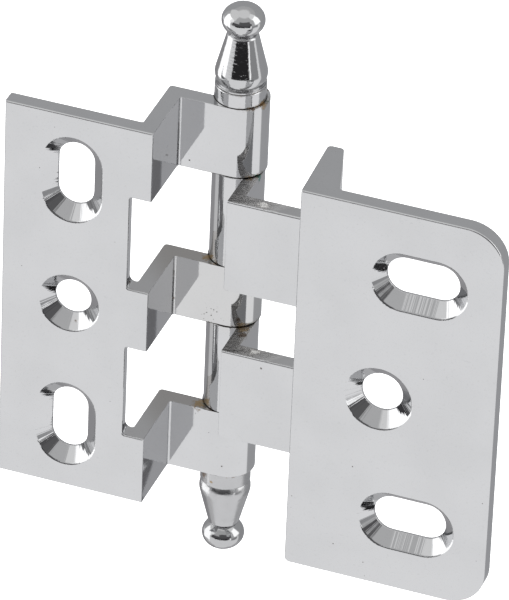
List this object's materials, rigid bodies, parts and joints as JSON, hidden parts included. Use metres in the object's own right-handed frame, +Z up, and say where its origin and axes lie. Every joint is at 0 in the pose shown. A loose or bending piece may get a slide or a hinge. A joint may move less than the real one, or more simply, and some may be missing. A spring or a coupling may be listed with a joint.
{
  "type": "decorative butt hinge",
  "caption": "Butt hinge with cranked leaves, countersunk slotted screw holes and a pin ended by ball finials; it hangs a small door on its frame.",
  "frame": {"origin": "where the axis of the frame leaf's middle screw hole meets that leaf's back face", "axes": "+Z up the hinge pin towards its collar, +X from the frame leaf to the door leaf, -Y out of the countersunk faces of both leaves"},
  "size_m": [0.0766, 0.0243, 0.0934],
  "materials": {
    "frame_leaf_plate": "bright plated, light wear, brown and green tarnish at the knuckles",
    "door_leaf_plate": "bright plated, fine pits, brown and green tarnish at the knuckles",
    "pin_plate": "bright plated, turned",
    "finial_plate": "bright plated, turned, fine pits"
  },
  "bodies": {
    "frame": {"frame_leaf": "frame_leaf_plate", "hinge_pin": "pin_plate", "top_finial": "finial_plate", "bottom_finial": "finial_plate"},
    "door": {"door_leaf": "door_leaf_plate"}
  },
  "joints": [
    {"name": "door_swing", "type": "hinge", "parent": "frame", "child": "door", "pos_m": [0.0198, 0.0122, 0], "axis": [0, 0, 1], "range_deg": [-92, 234]}
  ]
}
